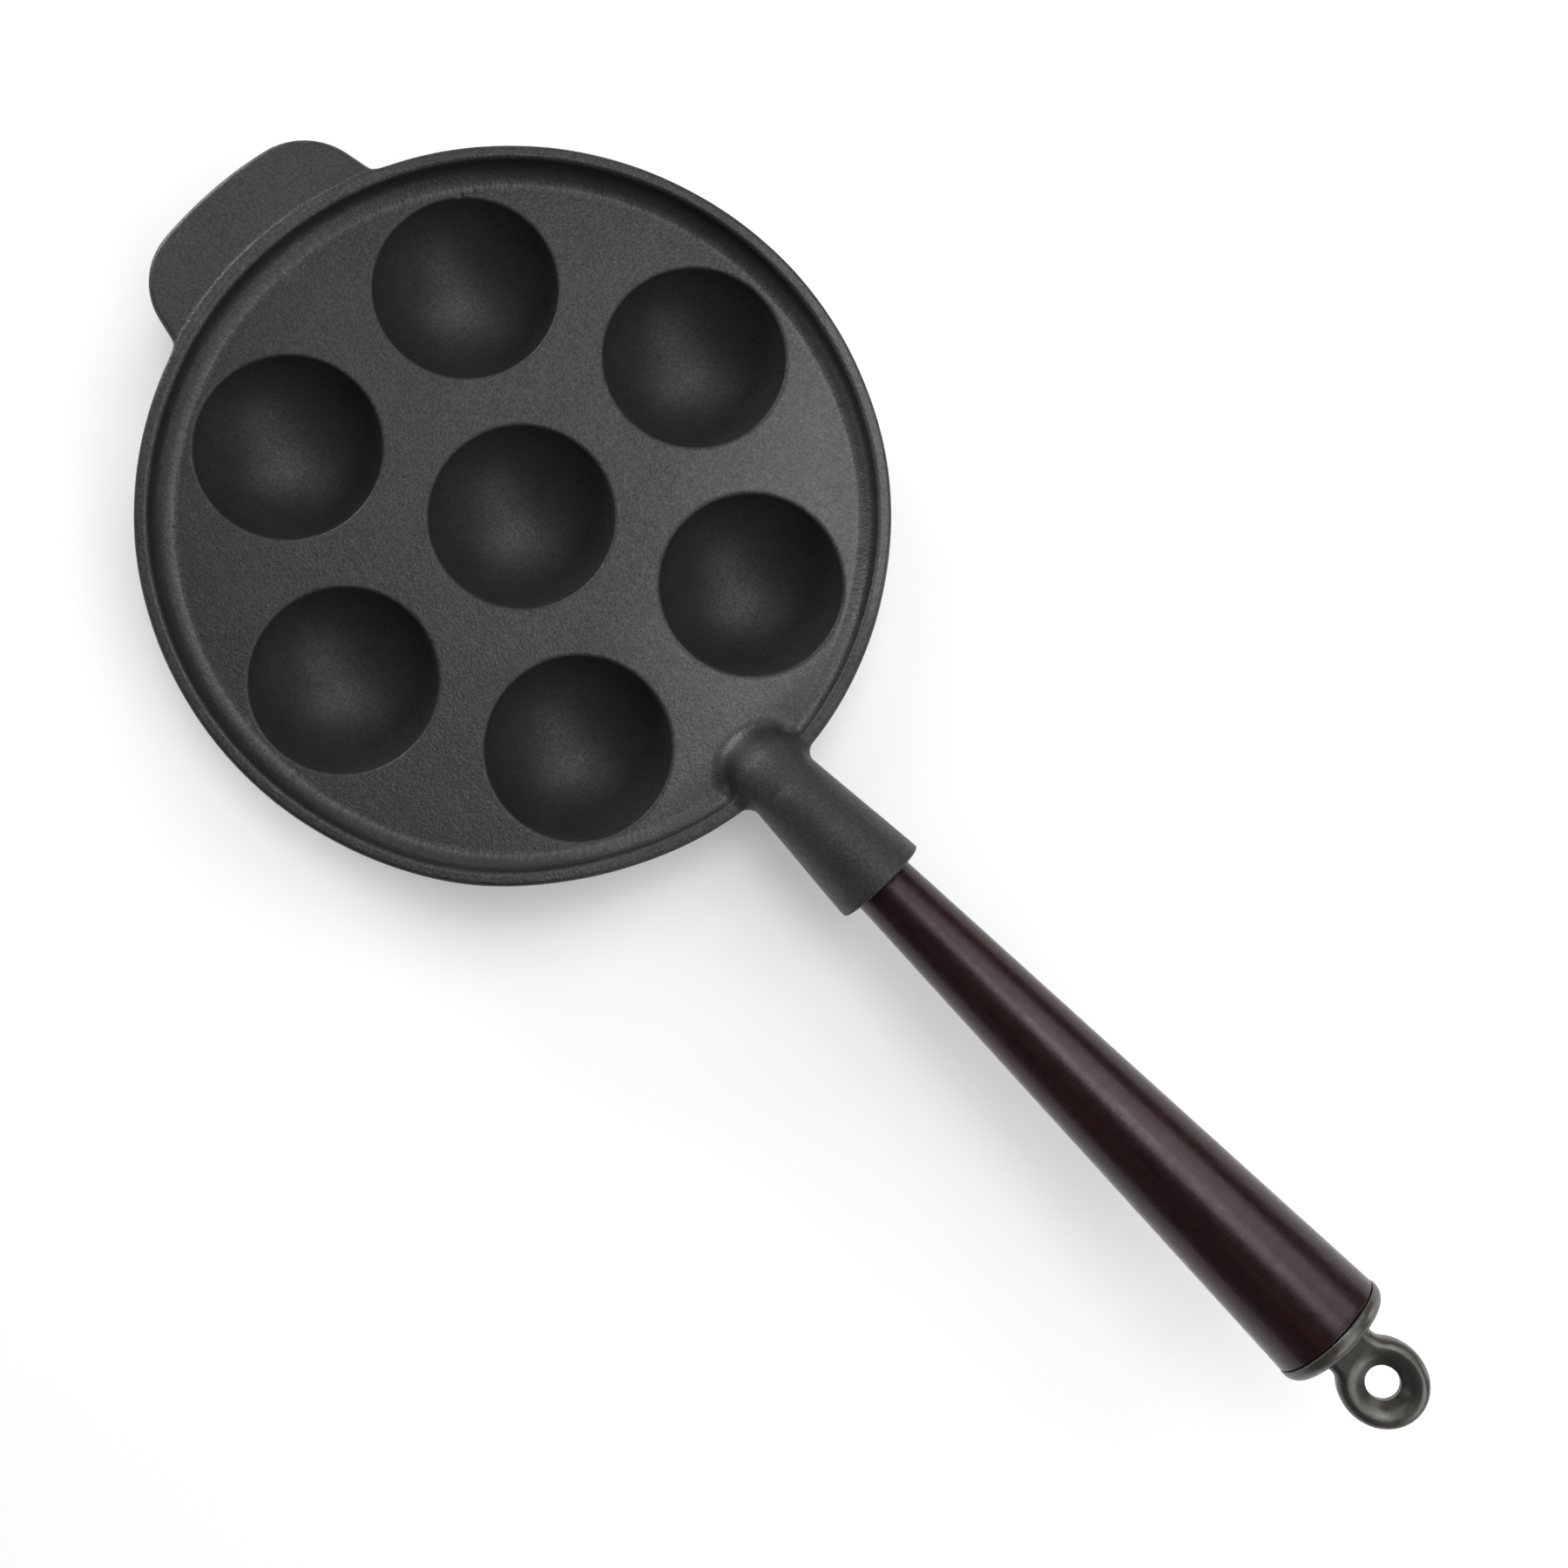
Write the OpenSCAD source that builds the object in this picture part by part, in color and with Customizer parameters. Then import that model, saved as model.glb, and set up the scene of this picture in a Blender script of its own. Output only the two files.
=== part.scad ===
// Cast-iron pan for round batter cakes: a low-rimmed plate with ball-shaped wells,
// a helper tab, and a socket for a turned wooden handle.
// A threaded rod runs through the handle and draws it into the socket,
// turned by the cast hanging eye that caps the handle's thick end.
// Origin: on the standing surface, under the middle of the centre well.
// +X runs out along the handle and +Z is up.

/* [Wells] */
// Diameter of a well where its ball shape meets the plate
well_d = 50; // [40:0.5:60]
// Depth of a well below the plate
well_depth = 22.5; // [14:0.5:24]
// Thickness of a well's wall
well_wall = 5; // [4:0.1:8]
// Metal left under a well, where its foot is ground flat
foot_t = 4; // [3:0.1:3.9]
// Width of the bevel around a well's lip
well_lip = 0.9; // [0.5:0.1:3]
// Number of wells around the centre one
ring_wells = 6; // [3:1:6]
// Flat land between one well's lip and the next
well_land = 13.1; // [8:0.05:24]

/* [Plate and rim] */
// Thickness of the plate between the wells
plate_t = 4.5; // [3.5:0.1:7]
// Flat land between the outer wells' lips and the hollow at the rim
rim_land = 1.2; // [0.5:0.1:10]
// Radius of the hollow where the plate meets the rim
rim_hollow = 4; // [2:0.1:5]
// Radius of the round bead along the rim's top
bead_r = 2; // [1.5:0.1:3]
// Height of the bead's middle above the plate
bead_z = 5.2; // [5:0.1:12]
// How far the rim's outside draws in towards its foot
rim_draft = 1.5; // [0:0.1:3]

/* [Helper tab] */
// How far the tab stands out from the rim
tab_reach = 18.4; // [14:0.1:30]
// Half the tab's width where its sides meet the rim
tab_half = 35.5; // [28:0.5:45]
// How much each side of the tab leans in
tab_lean = 12; // [0:1:20]
// Radius of the tab's outer corners
tab_corner_r = 19.5; // [6:0.5:20]
// Radius of the hollow between the tab's side and the rim
tab_hollow = 6; // [1:0.5:8]
// Thickness of the tab
tab_t = 6.5; // [4:0.1:8]
// How far the tab's top lies below the rim's top
tab_drop = 0.3; // [0.2:0.1:1.5]

/* [Handle socket] */
// Tilt of the handle above level
handle_tilt = 12; // [6:1:15]
// Height of the handle's axis above the plate, where it crosses the rim's outside
axis_rise = 6.1; // [5.5:0.1:9]
// Level distance from the rim's outside to the socket's mouth
socket_reach = 37.8; // [34:0.1:60]
// Radius of the socket's round root, which ends inside the pan
root_r = 10.5; // [9.5:0.1:12]
// How far inside the rim's outside the root's ball end is centred, along the axis
root_in = 5.6; // [4:0.1:7]
// Length of the straight root outside the rim, along the axis
root_out = 3.9; // [2:0.1:8]
// Radius of the socket's outside at its mouth
mouth_r = 13.3; // [12.5:0.1:18]
// Chamfer on the mouth's outer edge
mouth_edge = 1; // [0.5:0.1:1.5]
// Depth of the socket's bore along the axis
bore_depth = 24; // [21:0.5:26]

/* [Wooden handle] */
// Length of the handle outside the socket
grip_len = 152; // [100:0.1:220]
// Radius of the handle's thin end, in the socket
thin_r = 8.7; // [6.5:0.1:9.2]
// Radius of the handle's thick end
thick_r = 15.3; // [13:0.1:20]
// Straight stretch of the thin end outside the socket's middle
neck_len = 2.2; // [2:0.1:10]
// Rounding of the handle's thick end
end_round = 0.6; // [0.2:0.1:2]

/* [Threaded rod] */
// Radius of the rod over its thread
rod_r = 3.95; // [2.5:0.05:4.5]
// Length of the rod's thread inside the pan
thread_len = 18; // [17.6:0.1:20]

/* [Hanging eye] */
// Radius of the cap's edge
cap_r = 15.6; // [14:0.1:21]
// Thickness of the cap at the roundness of its edge
cap_t = 4.1; // [3.8:0.1:7]
// Radius of the cap's rounded edge
cap_round = 3.2; // [2:0.1:3.6]
// Height of the cap's low cone
cap_cone = 0.7; // [0.3:0.1:2]
// Radius at the top of the cap's low cone
cone_r = 8; // [7.5:0.1:9]
// Radius of the boss that centres the cap in the handle
boss_r = 7; // [6:0.1:8]
// Length of the boss
boss_len = 8; // [6:0.1:14]
// Distance from the cap's face to the middle of the ring
ring_out = 17.65; // [17:0.05:26]
// Radius of the ring's outside
ring_r = 10.7; // [10:0.1:14]
// Half the ring's thickness
ring_half = 3.4; // [2.6:0.1:3.6]
// Rounding of the ring's outer edges
ring_edge = 2.4; // [1:0.1:2.5]
// Radius of the hanging hole
hole_r = 4.1; // [3:0.1:5]
// Half the length of the hole's straight middle
hole_land = 1.1; // [0.5:0.1:1.5]
// Radius of the funnels on both sides of the hole, on the ring's faces
funnel_r = 7; // [5.5:0.1:7.5]
// Half the width of the neck between the cap and the ring
neck_half = 6.8; // [6:0.1:8]
// Radius of the hollows beside the neck
neck_hollow = 3.5; // [2:0.1:5]
// Turn of the ring about the handle's axis
eye_clock = 10; // [0:1:30]

/* [Clearances] */
// Radial gap between the handle and the socket's bore
socket_fit = 0.2; // [0.1:0.05:0.5]
// Radial gap between the rod and the holes that it screws into
thread_fit = 0.05; // [0.02:0.01:0.1]
// Radial gap between the rod and the handle
rod_gap = 0.55; // [0.3:0.05:1.5]
// Radial gap between the cap's boss and the handle
boss_gap = 0.3; // [0.1:0.05:1]
// Gap along the axis where the handle seats on the socket and on the cap
seat_gap = 0.2; // [0.1:0.05:0.5]

/* [Hidden] */
$fn = 96;
IRON = [0.16, 0.16, 0.155];
WOOD = [0.27, 0.09, 0.06];
STEEL = [0.62, 0.63, 0.64];
EYE_IRON = [0.24, 0.23, 0.21];

// Spare length of shapes that are cut off, and how far joined shapes reach into each other
over = 20;
sink = 1;
// Room past the rod's ends, and how far the rod stops short of the cap's top
tip_room = 2;
tap_room = 0.5;
rod_inset = 1;
// How far the hollows beside the tab start inside the rim's outside
tab_bite = 0.5;
// Straight pieces in each arc of the tab's outline, fewer in its small hollows
arc_steps = 12;
hollow_steps = 8;

// The wells: the ball's radius, its middle above the plate, and its lip's outside
mouth_half = well_d / 2;
ball_r = (pow(mouth_half, 2) + pow(well_depth, 2)) / (2 * well_depth);
ball_up = ball_r - well_depth;
lip_out = mouth_half + well_lip;
ring_pitch = 2 * lip_out + well_land;

// Heights and radii of the plate and its rim
plate_z = well_depth + foot_t;
under_z = plate_z - plate_t;
bead_mid_z = plate_z + bead_z;
rim_top_z = bead_mid_z + bead_r;
pan_r = ring_pitch + lip_out + rim_land + rim_hollow + 2 * bead_r;
rim_in_r = pan_r - 2 * bead_r;

// Places along the handle's axis, counted from where it crosses the rim's outside
mouth_s = socket_reach / cos(handle_tilt);
bore_s = mouth_s - bore_depth;
root_s = -root_in;
flare_s = root_out;
thread_tip_s = bore_s - thread_len;
grip_end_s = mouth_s + grip_len;
cap_s = grip_end_s + seat_gap;
cap_top_s = cap_s + cap_t;
cone_top_s = cap_top_s + cap_cone;
ring_s = cap_s + ring_out;
bore_r = thin_r + socket_fit;
tap_r = rod_r + thread_fit;
rod_end_s = cap_top_s - rod_inset;

// Puts a shape whose +Z is the handle's axis, and whose -X is up, in its place
module along_handle() {
    translate([pan_r, 0, plate_z + axis_rise])
        rotate([0, 90 - handle_tilt, 0])
            children();
}

// The places of all wells
module each_well() {
    children();
    for (i = [0 : ring_wells - 1])
        rotate([0, 0, (i + 0.5) * 360 / ring_wells])
            translate([ring_pitch, 0, 0])
                children();
}

// A well's outer bowl, below the middle of the plate
module bowl() {
    intersection() {
        translate([0, 0, plate_z + ball_up])
            sphere(r = ball_r + well_wall);
        cylinder(r = 2 * ball_r, h = plate_z - plate_t / 2);
    }
}

// The space inside a well, with the bevel of its lip
module well_hollow() {
    translate([0, 0, plate_z + ball_up])
        sphere(r = ball_r);
    translate([0, 0, plate_z - 2 * well_lip])
        cylinder(r1 = lip_out - 2 * well_lip, r2 = lip_out + well_lip, h = 3 * well_lip);
}

// Half the section of the plate and its rim, turned about the pan's middle
module plate_section() {
    translate([0, under_z])
        square([rim_in_r, plate_t]);
    polygon([
        [rim_in_r - rim_hollow, under_z],
        [pan_r - rim_draft, under_z],
        [pan_r, bead_mid_z],
        [rim_in_r, bead_mid_z],
        [rim_in_r, plate_z],
        [rim_in_r - rim_hollow, plate_z]
    ]);
    translate([rim_in_r + bead_r, bead_mid_z])
        circle(r = bead_r);
    difference() {
        translate([rim_in_r - rim_hollow, plate_z - sink])
            square([rim_hollow + bead_r / 2, rim_hollow + sink]);
        translate([rim_in_r - rim_hollow, plate_z + rim_hollow])
            circle(r = rim_hollow);
    }
}

// The direction of an angle, and points along an arc about m from angle a0 to a1
function way(a) = [cos(a), sin(a)];
function arc(m, r, a0, a1, steps) =
    [for (i = [0 : steps]) m + r * way(a0 + (a1 - a0) * i / steps)];

// Half the tab's outline, from inside the rim to the middle of its outer edge.
// Its side is a line at tab_d from the pan's middle, square to the angle side_a
function half_tab() =
    let (
        side_a = 90 - tab_lean,
        root_x = sqrt(pow(pan_r, 2) - pow(tab_half, 2)),
        tab_d = root_x * cos(side_a) + tab_half * sin(side_a),
        corner_reach = pan_r + tab_reach - tab_corner_r,
        corner_a = side_a - acos((tab_d - tab_corner_r) / corner_reach),
        hollow_reach = pan_r - tab_bite + tab_hollow,
        hollow_a = side_a - acos((tab_d + tab_hollow) / hollow_reach)
    )
    concat(
        arc([0, 0], pan_r - bead_r, 0, hollow_a, arc_steps),
        arc(hollow_reach * way(hollow_a), tab_hollow, hollow_a + 180, side_a + 180, hollow_steps),
        arc(corner_reach * way(corner_a), tab_corner_r, side_a, corner_a, arc_steps),
        arc([0, 0], pan_r + tab_reach, corner_a, 0, arc_steps)
    );

// The tab, just below the rim's top
module tab() {
    translate([0, 0, rim_top_z - tab_drop - tab_t])
        linear_extrude(height = tab_t)
            rotate([0, 0, 180])
                union() {
                    polygon(half_tab());
                    mirror([0, 1])
                        polygon(half_tab());
                }
}

// The socket's outside, cut upright at its mouth
module socket_shape() {
    flare = (mouth_r - root_r) / (mouth_s - flare_s);
    difference() {
        along_handle()
            rotate_extrude()
                union() {
                    intersection() {
                        translate([0, root_s])
                            circle(r = root_r);
                        translate([0, root_s - root_r])
                            square([root_r, 2 * root_r]);
                    }
                    polygon([
                        [0, root_s],
                        [root_r, root_s],
                        [root_r, flare_s],
                        [mouth_r - mouth_edge * flare, mouth_s - mouth_edge],
                        [mouth_r + over * flare, mouth_s + over],
                        [0, mouth_s + over]
                    ]);
                }
        translate([pan_r + socket_reach, -over, 0])
            cube([2 * over, 2 * over, plate_z + 3 * over]);
    }
}

// One iron casting: plate, rim, wells, tab and socket
module pan_casting() {
    color(IRON)
        difference() {
            union() {
                rotate_extrude()
                    plate_section();
                each_well()
                    bowl();
                tab();
                socket_shape();
            }
            each_well()
                well_hollow();
            along_handle() {
                translate([0, 0, bore_s])
                    cylinder(r = bore_r, h = bore_depth + over);
                translate([0, 0, thread_tip_s - tip_room])
                    cylinder(r = tap_r, h = thread_len + tip_room + sink);
            }
        }
}

// Turned wood with a straight thin end, bored through for the rod
module wooden_handle() {
    color(WOOD)
        along_handle()
            difference() {
                rotate_extrude()
                    polygon([
                        [0, bore_s + seat_gap],
                        [thin_r - end_round, bore_s + seat_gap],
                        [thin_r, bore_s + seat_gap + end_round],
                        [thin_r, mouth_s + neck_len],
                        [thick_r, grip_end_s - end_round],
                        [thick_r - end_round, grip_end_s],
                        [0, grip_end_s]
                    ]);
                translate([0, 0, bore_s - sink])
                    cylinder(r = rod_r + rod_gap, h = bore_depth + grip_len + over);
                translate([0, 0, cap_s - boss_len - 2 * seat_gap])
                    cylinder(r = boss_r + boss_gap, h = boss_len + over);
            }
}

// Straight rod, threaded at both ends
module tie_rod() {
    color(STEEL)
        along_handle()
            translate([0, 0, thread_tip_s])
                cylinder(r = rod_r, h = rod_end_s - thread_tip_s);
}

// The neck between cap and ring, drawn in the ring's plane
module neck_outline() {
    hollow_y = neck_half + neck_hollow;
    hollow_in = sqrt(pow(ring_r + neck_hollow, 2) - pow(hollow_y, 2));
    hollow_x = ring_s - hollow_in;
    touch = ring_r / (ring_r + neck_hollow);
    difference() {
        translate([cap_top_s - sink, -touch * hollow_y])
            square([ring_s - touch * hollow_in - cap_top_s + sink, 2 * touch * hollow_y]);
        for (side = [-1, 1])
            translate([hollow_x, side * hollow_y])
                circle(r = neck_hollow);
    }
}

// Puts a shape whose +Z is the hanging hole's axis in the ring's place
module ring_place() {
    rotate([0, 0, eye_clock])
        translate([0, 0, ring_s])
            rotate([0, -90, 0])
                children();
}

// The ring before its hole is cut: a flat disc with rounded edges
module ring_body() {
    rotate_extrude()
        union() {
            translate([0, -ring_half])
                square([ring_r - ring_edge, 2 * ring_half]);
            translate([0, ring_edge - ring_half])
                square([ring_r, 2 * (ring_half - ring_edge)]);
            for (side = [-1, 1])
                translate([ring_r - ring_edge, side * (ring_half - ring_edge)])
                    circle(r = ring_edge);
        }
}

// The hole through the ring, with a funnel on each side
module ring_hole() {
    flare = (funnel_r - hole_r) / (ring_half - hole_land);
    cylinder(r = hole_r, h = 2 * over, center = true);
    for (side = [0, 1])
        mirror([0, 0, side])
            translate([0, 0, hole_land])
                cylinder(r1 = hole_r, r2 = funnel_r + sink * flare, h = ring_half - hole_land + sink);
}

// Cast cap, neck and ring, with the boss that takes the rod
module hanging_eye() {
    color(EYE_IRON)
        along_handle()
            difference() {
                union() {
                    rotate_extrude()
                        intersection() {
                            translate([0, cap_s])
                                square([cap_r, cap_t]);
                            union() {
                                square([cap_r - cap_round, cap_top_s]);
                                translate([cap_r - cap_round, cap_top_s - cap_round])
                                    circle(r = cap_round);
                            }
                        }
                    translate([0, 0, cap_top_s])
                        cylinder(r1 = cap_r - cap_round, r2 = cone_r, h = cap_cone);
                    translate([0, 0, cap_s - boss_len])
                        cylinder(r = boss_r, h = boss_len + sink);
                    rotate([0, 0, eye_clock])
                        rotate([0, -90, 0])
                            translate([0, 0, -ring_half])
                                linear_extrude(height = 2 * ring_half)
                                    neck_outline();
                    ring_place()
                        ring_body();
                }
                ring_place()
                    ring_hole();
                translate([0, 0, cap_s - boss_len - sink])
                    cylinder(r = tap_r, h = boss_len + sink + cap_t - rod_inset + tap_room);
            }
}

pan_casting();
wooden_handle();
tie_rod();
hanging_eye();
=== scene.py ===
import math

import bpy
import numpy as np
from mathutils import Matrix, Vector


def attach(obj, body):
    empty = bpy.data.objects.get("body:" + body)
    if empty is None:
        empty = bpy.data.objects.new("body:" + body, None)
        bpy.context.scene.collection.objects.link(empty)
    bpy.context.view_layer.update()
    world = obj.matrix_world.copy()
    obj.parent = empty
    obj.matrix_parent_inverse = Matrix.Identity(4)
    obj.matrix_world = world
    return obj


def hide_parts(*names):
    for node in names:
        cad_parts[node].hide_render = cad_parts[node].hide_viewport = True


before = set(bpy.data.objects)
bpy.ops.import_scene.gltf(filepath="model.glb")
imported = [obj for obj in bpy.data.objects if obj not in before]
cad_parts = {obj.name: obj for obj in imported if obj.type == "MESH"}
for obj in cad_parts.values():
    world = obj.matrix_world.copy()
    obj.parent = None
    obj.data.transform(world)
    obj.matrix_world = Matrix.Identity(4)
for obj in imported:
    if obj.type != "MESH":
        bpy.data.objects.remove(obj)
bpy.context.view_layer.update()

# A cast-iron pan for round batter cakes, with a turned wooden handle.
# Shapes are worked out in millimetres and turned into metres when a mesh is made.
# Angles are in degrees, unless they are turned into radians where they are named.
MM = 0.001

# Wells
BALL_R = 25.139
WELL_WALL = 5.0
WELL_PITCH = 64.9
BALL_Z = 29.139
LIP_ROUND = 0.7
FOOT_ROUND = 0.8
BOWL_FILLET = 5.0

# Plate and rim. The hollow leaves the plate at one angle and turns into the wall at another,
# both measured from its lowest line.
PLATE_Z = 26.5
UNDER_Z = 22.0
PAN_R = 100.0
BEAD_R = 2.0
CROWN_ROUND = 1.2
BEAD_Z = 31.7
HOLLOW_R = 8.0
HOLLOW_EDGE = 18
HOLLOW_BEND = 38
WALL_R = 4.4
RIM_DRAFT = 1.5
RIM_ROUND = 1.5

# Slow unevenness of the cast skin, which is sunk by a multiple of it to stay in the CAD's box
SWAY = 0.05
SWAY_SINK = 1.2

# How far the rim is out of round, in and out: angle, amount, half width of the angle.
# It begins at a distance from the middle and is full a little further out.
SWELLS = [
    (306.0, 0.40, 12.0),
    (332.0, -0.45, 13.0),
    (54.0, 0.20, 12.0),
    (140.0, 0.22, 22.0),
    (230.0, 0.22, 12.0),
]
SWELL_FROM = 80.0
SWELL_OVER = 12.0

# Small pits of the casting on the plate: angle, distance from the middle, radius.
# Each is a ball raised above the plate by a share of its radius, with a rounded edge.
PITS = [(147.2, 90.4, 1.1), (144.8, 90.8, 0.8)]
PIT_LIFT = 0.55
PIT_EDGE = 0.25

# Helper tab
TAB_REACH = 18.4
TAB_HALF = 35.5
TAB_LEAN = 12.0
TAB_CORNER_R = 19.5
TAB_HOLLOW = 6.0
TAB_HOLLOW_SINK = 0.5
TAB_T = 6.5
TAB_TOP = 33.55
TAB_ROUND = 1.7
TAB_BLEND = 1.0

# Handle socket, along the handle's axis from where it crosses the rim's outside
TILT = math.radians(12.0)
AXIS_Z = 32.6
ROOT_R = 10.5
ROOT_IN = 5.6
ROOT_OUT = 3.9
ROOT_TIP_R = 9.5
ELBOW_X = 101.5
ELBOW_R = 20.0
ELBOW_LEAN = 53.0
ELBOW_EDGE = 3.5
MOUTH_X = 137.8
MOUTH_R = 13.3
MOUTH_ROUND = 1.0
BORE_ROUND = 0.35
SOCKET_FILLET = 3.5
ROOT_FILLET = 6.5
ROOT_FILLET_OVER = 8.0
BORE_R = 8.9
BORE_DEPTH = 24.0
TAP_R = 4.0
THREAD_LEN = 18.0
TAP_RUNOUT = 2.0

# Wooden handle; the seat is the gap that keeps its ends from the iron
GRIP_LEN = 152.0
THIN_R = 8.7
THICK_R = 15.3
NECK_LEN = 2.2
END_ROUND = 0.35
ROD_HOLE_R = 4.5
SEAT = 0.2

# Rod and its thread
ROD_R = 3.95
ROD_SHORT = 1.0
THREAD_PITCH = 1.25
THREAD_DEPTH = 0.68
THREAD_RUN_IN = 1.5
ROD_END_R = 0.02

# Hanging eye
CAP_R = 15.6
CAP_T = 4.1
CAP_ROUND = 3.2
CAP_CHAMFER = 0.3
CAP_CONE = 0.7
CONE_R = 8.0
BOSS_R = 7.0
BOSS_LEN = 8.0
BOSS_PLAY = 0.3
TAP_COVER = 0.5
RING_OUT = 17.65
RING_R = 10.7
RING_HALF = 3.4
RING_EDGE = 2.4
HOLE_R = 4.1
HOLE_LAND = 1.1
FUNNEL_R = 7.0
FUNNEL_ROUND = 1.0
CAP_FILLET = 1.4
EYE_SKIN = 0.02
NECK_HALF = 6.8
NECK_HOLLOW = 3.5
NECK_SINK = 3.0
EYE_CLOCK = math.radians(10.0)

# Places along the handle's axis
MOUTH_S = (MOUTH_X - PAN_R) / math.cos(TILT)
BORE_S = MOUTH_S - BORE_DEPTH
THREAD_S = BORE_S - THREAD_LEN
GRIP_END_S = MOUTH_S + GRIP_LEN
CAP_S = GRIP_END_S + SEAT
CAP_TOP_S = CAP_S + CAP_T
RING_S = CAP_S + RING_OUT

AXIS_FOOT = np.array([PAN_R, 0.0, AXIS_Z])
ALONG = np.array([math.cos(TILT), 0.0, math.sin(TILT)])
ACROSS = np.array([0.0, 1.0, 0.0])
UP = np.array([-math.sin(TILT), 0.0, math.cos(TILT)])

# Camera, fitted to the photograph
CAMERA_AT = Vector((0.098880, -0.037594, 0.435669))
CAMERA_RIGHT = Vector((0.6939789, 0.7164035, 0.07182829))
CAMERA_UP = Vector((-0.71996547, 0.69139681, 0.06016783))
CAMERA_LENS = 34.76

# Finishes: colours are linear, depths of grain are in millimetres.
# A FROM pair of places is where a finish comes in, and an UP_TO or TOP pair where it fades.
IRON_DARK = (0.015, 0.015, 0.0145)
IRON_LIGHT = (0.026, 0.026, 0.0255)
# Lighter colour of the band in the rim's hollow: partly wear on its radial marks, partly a painted
# highlight where the hollow catches light
IRON_WORN_AND_HIGHLIGHT = (0.058, 0.058, 0.056)
IRON_GLOSS = (0.27, 0.53)
IRON_ROUGH = (0.29, 0.41)
WELL_ROUGH = 0.16
SOCKET_ROUGH = 0.08
SOCKET_FROM = (80.0, 86.0)
OILED = 0.27
OILED_TOWARDS = (math.cos(math.radians(30.0)), math.sin(math.radians(30.0)), 0.0)
OILED_FROM = (30.0, 72.0)
OILED_UP_TO = (82.0, 91.0)
GRAIN = 0.025
FLAKES = 0.04
PEEL = 0.08
WELL_GRAIN = 0.35
WELL_EDGE = (BALL_R + 0.7, BALL_R + 1.5)
RIM_MARKS = 0.12
MARKS_FROM = (90.4, 91.6)
MARKS_UP_TO = (92.2, 94.0)
MARKS_TOP = (PLATE_Z + 1.5, PLATE_Z + 3.0)
EYE_DARK = (0.012, 0.012, 0.0108)
EYE_LIGHT = (0.026, 0.025, 0.022)
EYE_GLOSS = 1.0
EYE_SHEEN = (1.0, 0.95, 0.87)
EYE_ROUGH = (0.29, 0.43)
EYE_GRAIN = 0.0125
EYE_DENTS = 0.1
WOOD_DARK = (0.0075, 0.0028, 0.0030)
WOOD_MIDDLE = (0.0115, 0.0040, 0.0043)
WOOD_LIGHT = (0.018, 0.0060, 0.0064)
WOOD_GLOSS = 0.43
WOOD_SHEEN = (1.0, 0.80, 0.84)
WOOD_ROUGH = (0.24, 0.34)
WOOD_PORES = 0.012
LACQUER_PEEL = 0.05
STEEL_DARK = (0.36, 0.36, 0.37)
STEEL_LIGHT = (0.52, 0.52, 0.53)
STEEL_ROUGH = (0.28, 0.42)
STEEL_MARKS = 0.01
FLOOR_HALF = 3.0
FLOOR = (0.96, 0.96, 0.96)
FLOOR_ROUGH = 0.9
FLOOR_GLOW = 0.14
FLOOR_GLOW_REACH = (700.0, 1500.0)

# Studio: round soft lights at a distance, each with its azimuth, elevation, size and power
LIGHTS_AIM = Vector((0.08, 0.0, 0.03))
LIGHTS_AWAY = 1.5
AMBIENT = 0.10
SOFTBOXES = [
    ("key", 120.0, 64.0, 0.9, 3.4),
    ("top", 115.0, 79.0, 0.65, 4.5),
    ("back", 90.0, 47.0, 0.9, 4.2),
    ("back_low", 135.0, 12.0, 0.55, 1.8),
    ("left", 180.0, 47.0, 0.9, 2.4),
    ("left_low", 180.0, 12.0, 0.55, 10.3),
    ("front_low", 225.0, 12.0, 0.55, 1.2),
    ("right", 0.0, 32.0, 0.9, 4.8),
    ("right_high", 15.0, 58.0, 0.9, 4.4),
    ("right_low", 45.0, 12.0, 0.55, 2.6),
]


# Distance fields

def join_round(a, b, r):
    """Union of two distance fields, with a hollow fillet of radius r."""
    u = np.maximum(r - a, 0.0)
    v = np.maximum(r - b, 0.0)
    return np.maximum(r, np.minimum(a, b)) - np.sqrt(u * u + v * v)


def meet_round(a, b, r):
    """Intersection of two distance fields, with a rounded edge of radius r."""
    u = np.maximum(r + a, 0.0)
    v = np.maximum(r + b, 0.0)
    return np.minimum(-r, np.maximum(a, b)) + np.sqrt(u * u + v * v)


def arc(centre, radius, start, stop, steps):
    """Points along an arc, with its angles in degrees."""
    angles = np.radians(np.linspace(start, stop, steps + 1))
    return [(centre[0] + radius * math.cos(a), centre[1] + radius * math.sin(a)) for a in angles]


def polygon_distance(points, x, y):
    """Signed distance from each (x, y) to a closed outline, negative inside."""
    best = np.full(x.shape, 1e12)
    inside = np.zeros(x.shape, bool)
    for (ax, ay), (bx, by) in zip(points, points[1:] + points[:1]):
        ex, ey = bx - ax, by - ay
        wx, wy = x - ax, y - ay
        t = np.clip((wx * ex + wy * ey) / max(ex * ex + ey * ey, 1e-12), 0.0, 1.0)
        best = np.minimum(best, (wx - ex * t) ** 2 + (wy - ey * t) ** 2)
        if ay != by:
            inside ^= ((ay > y) != (by > y)) & (x < ax + (y - ay) * ex / ey)
    return np.where(inside, -1.0, 1.0) * np.sqrt(best)


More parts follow.
